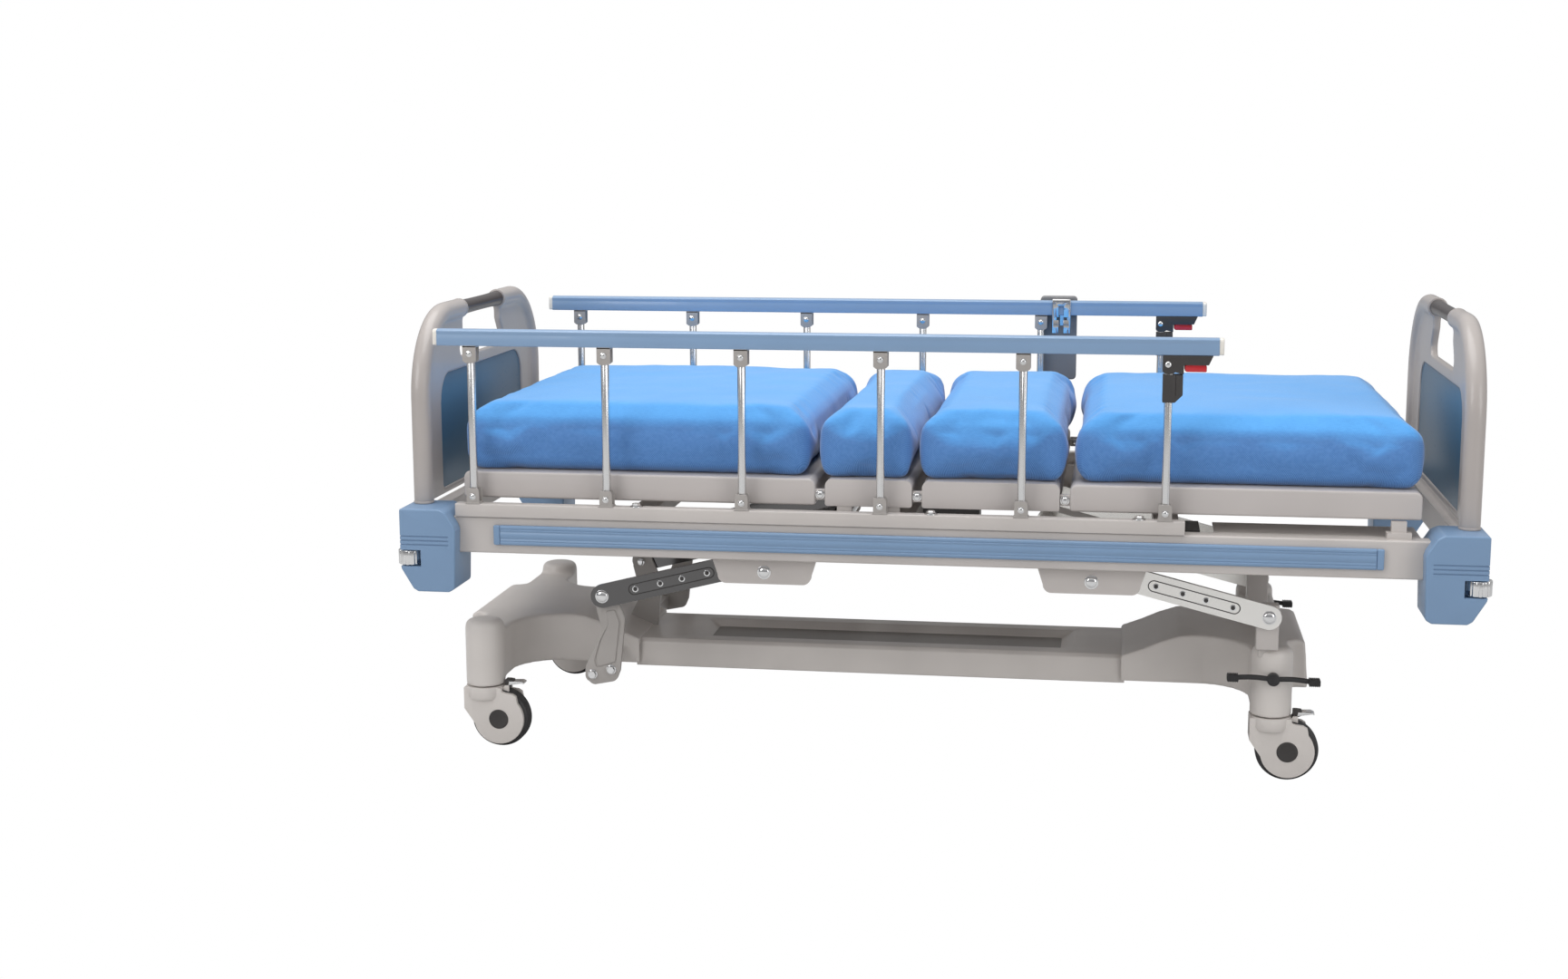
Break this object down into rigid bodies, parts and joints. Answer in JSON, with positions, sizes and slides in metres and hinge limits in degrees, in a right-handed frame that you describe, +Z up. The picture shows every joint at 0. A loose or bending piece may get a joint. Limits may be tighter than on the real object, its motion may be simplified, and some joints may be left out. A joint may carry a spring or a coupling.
{
  "type": "adjustable hospital trolley bed",
  "caption": "Wheeled ward bed with a jointed mattress deck, parallelogram side rails that fold down, a lifting frame on scissor-like arms and swivel castors.",
  "frame": {"origin": "on the floor under the middle of the bed", "axes": "+X towards the foot end, +Y towards the far long side, +Z up"},
  "size_m": [2.1498, 0.965, 0.9385],
  "materials": {
    "frame_paint": "satin powder coat",
    "cover_plastic": "satin moulded plastic",
    "dark_steel": "matte",
    "black_plastic": "satin",
    "castor_tyre": "satin rubber tread",
    "bright_metal": "polished",
    "arm_steel": "polished steel",
    "blue_plastic": "satin",
    "deck_plastic": "satin",
    "mattress_fabric": "fine woven cover",
    "panel_blue": "satin",
    "grip_brown": "glossy",
    "rail_blue": "satin",
    "post_aluminium": "polished and fluted",
    "latch_grey": "satin",
    "trigger_red": "glossy",
    "handset_grey": "satin"
  },
  "bodies": {
    "base": {"chassis_frame": "dark_steel", "beam_cover": "cover_plastic", "end_covers": "cover_plastic", "arm_supports": "frame_paint"},
    "brake_bar": {"brake_pedals": "black_plastic"},
    "castor_foot_near": {"castor_housing_foot_near": "cover_plastic"},
    "wheel_foot_near": {"castor_wheel_foot_near": "castor_tyre"},
    "lever_foot_near": {"castor_lever_foot_near": "bright_metal"},
    "castor_foot_far": {"castor_housing_foot_far": "cover_plastic"},
    "wheel_foot_far": {"castor_wheel_foot_far": "castor_tyre"},
    "lever_foot_far": {"castor_lever_foot_far": "bright_metal"},
    "castor_head_near": {"castor_housing_head_near": "cover_plastic"},
    "wheel_head_near": {"castor_wheel_head_near": "castor_tyre"},
    "lever_head_near": {"castor_lever_head_near": "bright_metal"},
    "castor_head_far": {"castor_housing_head_far": "cover_plastic"},
    "wheel_head_far": {"castor_wheel_head_far": "castor_tyre"},
    "lever_head_far": {"castor_lever_head_far": "bright_metal"},
    "foot_arms": {"foot_lift_arms": "arm_steel"},
    "head_arms": {"head_lift_arms": "arm_steel"},
    "bed_frame": {"bed_frame": "frame_paint", "rail_mounts": "frame_paint", "bumper_strips": "blue_plastic", "corner_covers": "blue_plastic", "drive_units": "dark_steel", "seat_deck": "deck_plastic", "seat_cushion": "mattress_fabric", "end_board_frames": "frame_paint", "end_board_panels": "panel_blue", "end_board_grips": "grip_brown"},
    "knob_foot_near": {"corner_knob_foot_near": "bright_metal"},
    "knob_foot_far": {"corner_knob_foot_far": "bright_metal"},
    "knob_head_near": {"corner_knob_head_near": "bright_metal"},
    "knob_head_far": {"corner_knob_head_far": "bright_metal"},
    "back_section": {"back_deck": "deck_plastic", "back_cushion": "mattress_fabric"},
    "thigh_section": {"thigh_deck": "deck_plastic", "thigh_cushion": "mattress_fabric"},
    "leg_section": {"leg_deck": "deck_plastic", "leg_cushion": "mattress_fabric"},
    "lift_rod": {"lift_actuator_rod": "bright_metal"},
    "back_rod": {"back_actuator_rod": "bright_metal"},
    "post_near_0": {"rail_post_near_0": "post_aluminium"},
    "post_near_1": {"rail_post_near_1": "post_aluminium"},
    "post_near_2": {"rail_post_near_2": "post_aluminium"},
    "post_near_3": {"rail_post_near_3": "post_aluminium"},
    "post_near_4": {"rail_post_near_4": "post_aluminium"},
    "post_near_5": {"rail_post_near_5": "post_aluminium"},
    "rail_near": {"handrail_near": "rail_blue", "rail_latch_near": "latch_grey"},
    "trigger_near": {"rail_trigger_near": "trigger_red"},
    "post_far_0": {"rail_post_far_0": "post_aluminium"},
    "post_far_1": {"rail_post_far_1": "post_aluminium"},
    "post_far_2": {"rail_post_far_2": "post_aluminium"},
    "post_far_3": {"rail_post_far_3": "post_aluminium"},
    "post_far_4": {"rail_post_far_4": "post_aluminium"},
    "post_far_5": {"rail_post_far_5": "post_aluminium"},
    "rail_far": {"handrail_far": "rail_blue", "rail_latch_far": "latch_grey", "handset": "handset_grey"},
    "trigger_far": {"rail_trigger_far": "trigger_red"}
  },
  "joints": [
    {"name": "brake_bar_turn", "type": "hinge", "parent": "base", "child": "brake_bar", "pos_m": [0.686, 0, 0.217], "axis": [0, 1, 0], "range_deg": [-14, 14]},
    {"name": "swivel_foot_near", "type": "hinge", "parent": "base", "child": "castor_foot_near", "pos_m": [0.686, -0.305, 0], "axis": [0, 0, 1], "continuous": true},
    {"name": "roll_foot_near", "type": "hinge", "parent": "castor_foot_near", "child": "wheel_foot_near", "pos_m": [0.72, -0.305, 0.0625], "axis": [0, 1, 0], "continuous": true},
    {"name": "brake_lever_foot_near", "type": "hinge", "parent": "castor_foot_near", "child": "lever_foot_near", "pos_m": [0.735, -0.305, 0.128], "axis": [0, 1, 0], "range_deg": [0, 8]},
    {"name": "swivel_foot_far", "type": "hinge", "parent": "base", "child": "castor_foot_far", "pos_m": [0.686, 0.305, 0], "axis": [0, 0, 1], "continuous": true},
    {"name": "roll_foot_far", "type": "hinge", "parent": "castor_foot_far", "child": "wheel_foot_far", "pos_m": [0.72, 0.305, 0.0625], "axis": [0, 1, 0], "continuous": true},
    {"name": "brake_lever_foot_far", "type": "hinge", "parent": "castor_foot_far", "child": "lever_foot_far", "pos_m": [0.735, 0.305, 0.128], "axis": [0, 1, 0], "range_deg": [0, 8]},
    {"name": "swivel_head_near", "type": "hinge", "parent": "base", "child": "castor_head_near", "pos_m": [-0.946, -0.305, 0], "axis": [0, 0, 1], "continuous": true},
    {"name": "roll_head_near", "type": "hinge", "parent": "castor_head_near", "child": "wheel_head_near", "pos_m": [-0.912, -0.305, 0.0625], "axis": [0, 1, 0], "continuous": true},
    {"name": "brake_lever_head_near", "type": "hinge", "parent": "castor_head_near", "child": "lever_head_near", "pos_m": [-0.897, -0.305, 0.128], "axis": [0, 1, 0], "range_deg": [0, 8]},
    {"name": "swivel_head_far", "type": "hinge", "parent": "base", "child": "castor_head_far", "pos_m": [-0.946, 0.305, 0], "axis": [0, 0, 1], "continuous": true},
    {"name": "roll_head_far", "type": "hinge", "parent": "castor_head_far", "child": "wheel_head_far", "pos_m": [-0.912, 0.305, 0.0625], "axis": [0, 1, 0], "continuous": true},
    {"name": "brake_lever_head_far", "type": "hinge", "parent": "castor_head_far", "child": "lever_head_far", "pos_m": [-0.897, 0.305, 0.128], "axis": [0, 1, 0], "range_deg": [0, 8]},
    {"name": "lift", "type": "hinge", "parent": "base", "child": "foot_arms", "pos_m": [0.673, 0, 0.34467], "axis": [0, 1, 0], "range_deg": [-9, 36]},
    {"name": "lift_level", "type": "hinge", "parent": "foot_arms", "child": "bed_frame", "pos_m": [0.22512, 0, 0.458], "axis": [0, 1, 0], "range_deg": [-36, 9]},
    {"name": "lift_head_arms", "type": "hinge", "parent": "base", "child": "head_arms", "pos_m": [-0.673, 0, 0.34467], "axis": [0, 1, 0], "range_deg": [-36, 9]},
    {"name": "knob_turn_foot_near", "type": "hinge", "parent": "bed_frame", "child": "knob_foot_near", "pos_m": [1.05, -0.4575, 0.437], "axis": [0, 0, 1], "range_deg": [0, 90]},
    {"name": "knob_turn_foot_far", "type": "hinge", "parent": "bed_frame", "child": "knob_foot_far", "pos_m": [1.05, 0.4575, 0.437], "axis": [0, 0, 1], "range_deg": [0, 90]},
    {"name": "knob_turn_head_near", "type": "hinge", "parent": "bed_frame", "child": "knob_head_near", "pos_m": [-1.05, -0.4575, 0.437], "axis": [0, 0, 1], "range_deg": [0, 90]},
    {"name": "knob_turn_head_far", "type": "hinge", "parent": "bed_frame", "child": "knob_head_far", "pos_m": [-1.05, 0.4575, 0.437], "axis": [0, 0, 1], "range_deg": [0, 90]},
    {"name": "back_raise", "type": "hinge", "parent": "bed_frame", "child": "back_section", "pos_m": [-0.2125, 0, 0.576], "axis": [0, 1, 0], "range_deg": [0, 45], "deforming": ["seat_cushion"]},
    {"name": "thigh_raise", "type": "hinge", "parent": "bed_frame", "child": "thigh_section", "pos_m": [-0.019, 0, 0.576], "axis": [0, -1, 0], "range_deg": [0, 30], "deforming": ["thigh_cushion"]},
    {"name": "knee_fold", "type": "hinge", "parent": "thigh_section", "child": "leg_section", "pos_m": [0.271, 0, 0.576], "axis": [0, 1, 0], "range_deg": [0, 43]},
    {"name": "lift_rod_slide", "type": "slide", "parent": "bed_frame", "child": "lift_rod", "axis": [1, 0, 0], "range_m": [-0.009, 0.0355]},
    {"name": "back_rod_slide", "type": "slide", "parent": "bed_frame", "child": "back_rod", "axis": [-1, 0, 0], "range_m": [0, 0.04]},
    {"name": "rail_fold_near", "type": "hinge", "parent": "bed_frame", "child": "post_near_5", "pos_m": [0.464, -0.44, 0.562], "axis": [0, 1, 0], "range_deg": [0, 80]},
    {"name": "post_turn_near_0", "type": "hinge", "parent": "bed_frame", "child": "post_near_0", "pos_m": [-0.91775, -0.44, 0.562], "axis": [0, 1, 0], "range_deg": [0, 80]},
    {"name": "post_turn_near_1", "type": "hinge", "parent": "bed_frame", "child": "post_near_1", "pos_m": [-0.6414, -0.44, 0.562], "axis": [0, 1, 0], "range_deg": [0, 80]},
    {"name": "post_turn_near_2", "type": "hinge", "parent": "bed_frame", "child": "post_near_2", "pos_m": [-0.36505, -0.44, 0.562], "axis": [0, 1, 0], "range_deg": [0, 80]},
    {"name": "post_turn_near_3", "type": "hinge", "parent": "bed_frame", "child": "post_near_3", "pos_m": [-0.0887, -0.44, 0.562], "axis": [0, 1, 0], "range_deg": [0, 80]},
    {"name": "post_turn_near_4", "type": "hinge", "parent": "bed_frame", "child": "post_near_4", "pos_m": [0.18765, -0.44, 0.562], "axis": [0, 1, 0], "range_deg": [0, 80]},
    {"name": "rail_level_near", "type": "hinge", "parent": "post_near_5", "child": "rail_near", "pos_m": [0.464, -0.44, 0.852], "axis": [0, 1, 0], "range_deg": [-80, 0]},
    {"name": "trigger_pull_near", "type": "slide", "parent": "rail_near", "child": "trigger_near", "axis": [0, 0, 1], "range_m": [0, 0.004], "stiffness_N_per_m": 400, "springref_m": -0.002},
    {"name": "rail_fold_far", "type": "hinge", "parent": "bed_frame", "child": "post_far_5", "pos_m": [0.464, 0.44, 0.562], "axis": [0, 1, 0], "range_deg": [0, 80]},
    {"name": "post_turn_far_0", "type": "hinge", "parent": "bed_frame", "child": "post_far_0", "pos_m": [-0.91775, 0.44, 0.562], "axis": [0, 1, 0], "range_deg": [0, 80]},
    {"name": "post_turn_far_1", "type": "hinge", "parent": "bed_frame", "child": "post_far_1", "pos_m": [-0.6414, 0.44, 0.562], "axis": [0, 1, 0], "range_deg": [0, 80]},
    {"name": "post_turn_far_2", "type": "hinge", "parent": "bed_frame", "child": "post_far_2", "pos_m": [-0.36505, 0.44, 0.562], "axis": [0, 1, 0], "range_deg": [0, 80]},
    {"name": "post_turn_far_3", "type": "hinge", "parent": "bed_frame", "child": "post_far_3", "pos_m": [-0.0887, 0.44, 0.562], "axis": [0, 1, 0], "range_deg": [0, 80]},
    {"name": "post_turn_far_4", "type": "hinge", "parent": "bed_frame", "child": "post_far_4", "pos_m": [0.18765, 0.44, 0.562], "axis": [0, 1, 0], "range_deg": [0, 80]},
    {"name": "rail_level_far", "type": "hinge", "parent": "post_far_5", "child": "rail_far", "pos_m": [0.464, 0.44, 0.852], "axis": [0, 1, 0], "range_deg": [-80, 0]},
    {"name": "trigger_pull_far", "type": "slide", "parent": "rail_far", "child": "trigger_far", "axis": [0, 0, 1], "range_m": [0, 0.004], "stiffness_N_per_m": 400, "springref_m": -0.002}
  ],
  "couplings": [
    {"joint": "lift_level", "follows": "lift", "ratio": -1},
    {"joint": "lift_head_arms", "follows": "lift", "ratio": -1},
    {"joint": "knee_fold", "follows": "thigh_raise", "ratio": 1.41},
    {"joint": "lift_rod_slide", "follows": "lift", "m_per_rad": 0.056},
    {"joint": "back_rod_slide", "follows": "back_raise", "m_per_rad": 0.048},
    {"joint": "post_turn_near_0", "follows": "rail_fold_near", "ratio": 1},
    {"joint": "post_turn_near_1", "follows": "rail_fold_near", "ratio": 1},
    {"joint": "post_turn_near_2", "follows": "rail_fold_near", "ratio": 1},
    {"joint": "post_turn_near_3", "follows": "rail_fold_near", "ratio": 1},
    {"joint": "post_turn_near_4", "follows": "rail_fold_near", "ratio": 1},
    {"joint": "rail_level_near", "follows": "rail_fold_near", "ratio": -1},
    {"joint": "post_turn_far_0", "follows": "rail_fold_far", "ratio": 1},
    {"joint": "post_turn_far_1", "follows": "rail_fold_far", "ratio": 1},
    {"joint": "post_turn_far_2", "follows": "rail_fold_far", "ratio": 1},
    {"joint": "post_turn_far_3", "follows": "rail_fold_far", "ratio": 1},
    {"joint": "post_turn_far_4", "follows": "rail_fold_far", "ratio": 1},
    {"joint": "rail_level_far", "follows": "rail_fold_far", "ratio": -1}
  ]
}
